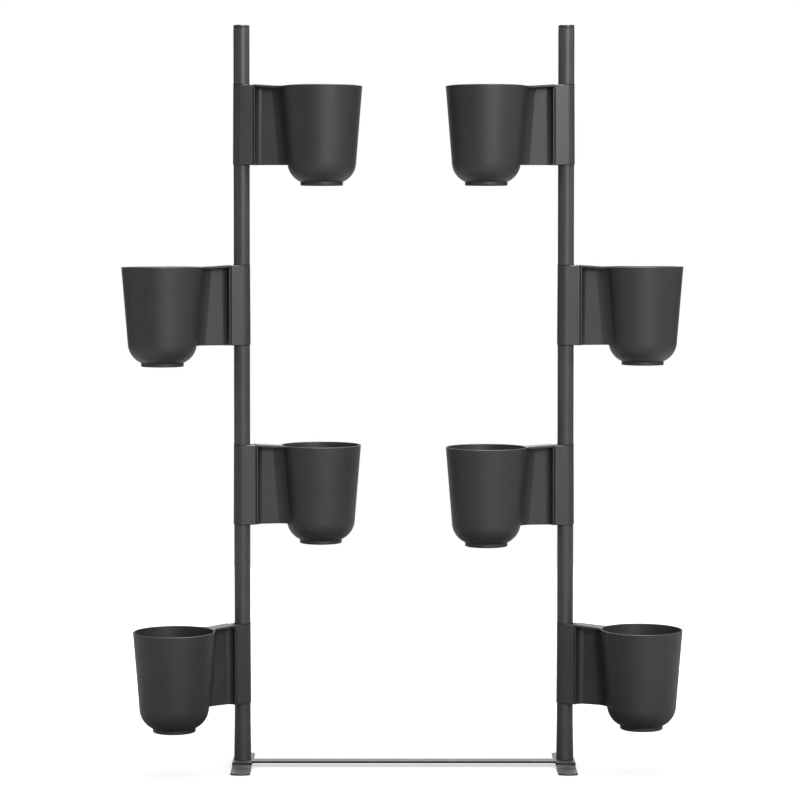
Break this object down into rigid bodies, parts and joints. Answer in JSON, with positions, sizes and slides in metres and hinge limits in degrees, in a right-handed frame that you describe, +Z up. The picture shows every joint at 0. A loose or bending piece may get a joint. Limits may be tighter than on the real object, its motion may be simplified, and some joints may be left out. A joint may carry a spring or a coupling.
{
  "type": "planter room divider",
  "caption": "Free-standing room divider with slim poles on a low base, carrying round plant pots on arms that swivel about the poles and lift off.",
  "frame": {"origin": "on the floor, below the middle of the whole object's box", "axes": "+Z up the poles, +X from the left pole to the right one, front towards -Y"},
  "size_m": [1.0403, 0.271, 1.374],
  "materials": {
    "pot_plastic": "satin charcoal moulding",
    "sleeve_plastic": "satin charcoal moulding",
    "cap_plastic": "satin charcoal moulding",
    "coated_steel": "charcoal powder coat",
    "fastener_steel": "zinc plated"
  },
  "bodies": {
    "stand": {"base_bar": "coated_steel", "base_bolts": "fastener_steel", "foot_left": "coated_steel", "base_plug_left": "fastener_steel", "cap_left": "cap_plastic", "tube_left_base": "coated_steel", "tube_left_lower": "coated_steel", "tube_left_middle": "coated_steel", "tube_left_upper": "coated_steel", "tube_left_top": "coated_steel", "foot_right": "coated_steel", "base_plug_right": "fastener_steel", "cap_right": "cap_plastic", "tube_right_base": "coated_steel", "tube_right_lower": "coated_steel", "tube_right_middle": "coated_steel", "tube_right_upper": "coated_steel", "tube_right_top": "coated_steel"},
    "sleeve_left_bottom": {"sleeve_left_bottom": "sleeve_plastic"},
    "pot_left_bottom": {"pot_left_bottom": "pot_plastic"},
    "sleeve_left_lower": {"sleeve_left_lower": "sleeve_plastic"},
    "pot_left_lower": {"pot_left_lower": "pot_plastic"},
    "sleeve_left_upper": {"sleeve_left_upper": "sleeve_plastic"},
    "pot_left_upper": {"pot_left_upper": "pot_plastic"},
    "sleeve_left_top": {"sleeve_left_top": "sleeve_plastic"},
    "pot_left_top": {"pot_left_top": "pot_plastic"},
    "sleeve_right_bottom": {"sleeve_right_bottom": "sleeve_plastic"},
    "pot_right_bottom": {"pot_right_bottom": "pot_plastic"},
    "sleeve_right_lower": {"sleeve_right_lower": "sleeve_plastic"},
    "pot_right_lower": {"pot_right_lower": "pot_plastic"},
    "sleeve_right_upper": {"sleeve_right_upper": "sleeve_plastic"},
    "pot_right_upper": {"pot_right_upper": "pot_plastic"},
    "sleeve_right_top": {"sleeve_right_top": "sleeve_plastic"},
    "pot_right_top": {"pot_right_top": "pot_plastic"}
  },
  "joints": [
    {"name": "swivel_left_bottom", "type": "hinge", "parent": "stand", "child": "sleeve_left_bottom", "pos_m": [-0.3, 0.02703, 0.1165], "axis": [0, 0, 1], "continuous": true},
    {"name": "lift_left_bottom", "type": "slide", "parent": "sleeve_left_bottom", "child": "pot_left_bottom", "axis": [0, 0, 1], "range_m": [0, 0.066]},
    {"name": "swivel_left_lower", "type": "hinge", "parent": "stand", "child": "sleeve_left_lower", "pos_m": [-0.3, 0.02703, 0.4495], "axis": [0, 0, 1], "continuous": true},
    {"name": "lift_left_lower", "type": "slide", "parent": "sleeve_left_lower", "child": "pot_left_lower", "axis": [0, 0, 1], "range_m": [0, 0.066]},
    {"name": "swivel_left_upper", "type": "hinge", "parent": "stand", "child": "sleeve_left_upper", "pos_m": [-0.3, 0.02703, 0.7825], "axis": [0, 0, 1], "continuous": true},
    {"name": "lift_left_upper", "type": "slide", "parent": "sleeve_left_upper", "child": "pot_left_upper", "axis": [0, 0, 1], "range_m": [0, 0.066]},
    {"name": "swivel_left_top", "type": "hinge", "parent": "stand", "child": "sleeve_left_top", "pos_m": [-0.3, 0.02703, 1.1155], "axis": [0, 0, 1], "continuous": true},
    {"name": "lift_left_top", "type": "slide", "parent": "sleeve_left_top", "child": "pot_left_top", "axis": [0, 0, 1], "range_m": [0, 0.066]},
    {"name": "swivel_right_bottom", "type": "hinge", "parent": "stand", "child": "sleeve_right_bottom", "pos_m": [0.3, 0.02703, 0.1165], "axis": [0, 0, 1], "continuous": true},
    {"name": "lift_right_bottom", "type": "slide", "parent": "sleeve_right_bottom", "child": "pot_right_bottom", "axis": [0, 0, 1], "range_m": [0, 0.066]},
    {"name": "swivel_right_lower", "type": "hinge", "parent": "stand", "child": "sleeve_right_lower", "pos_m": [0.3, 0.02703, 0.4495], "axis": [0, 0, 1], "continuous": true},
    {"name": "lift_right_lower", "type": "slide", "parent": "sleeve_right_lower", "child": "pot_right_lower", "axis": [0, 0, 1], "range_m": [0, 0.066]},
    {"name": "swivel_right_upper", "type": "hinge", "parent": "stand", "child": "sleeve_right_upper", "pos_m": [0.3, 0.02703, 0.7825], "axis": [0, 0, 1], "continuous": true},
    {"name": "lift_right_upper", "type": "slide", "parent": "sleeve_right_upper", "child": "pot_right_upper", "axis": [0, 0, 1], "range_m": [0, 0.066]},
    {"name": "swivel_right_top", "type": "hinge", "parent": "stand", "child": "sleeve_right_top", "pos_m": [0.3, 0.02703, 1.1155], "axis": [0, 0, 1], "continuous": true},
    {"name": "lift_right_top", "type": "slide", "parent": "sleeve_right_top", "child": "pot_right_top", "axis": [0, 0, 1], "range_m": [0, 0.066]}
  ]
}
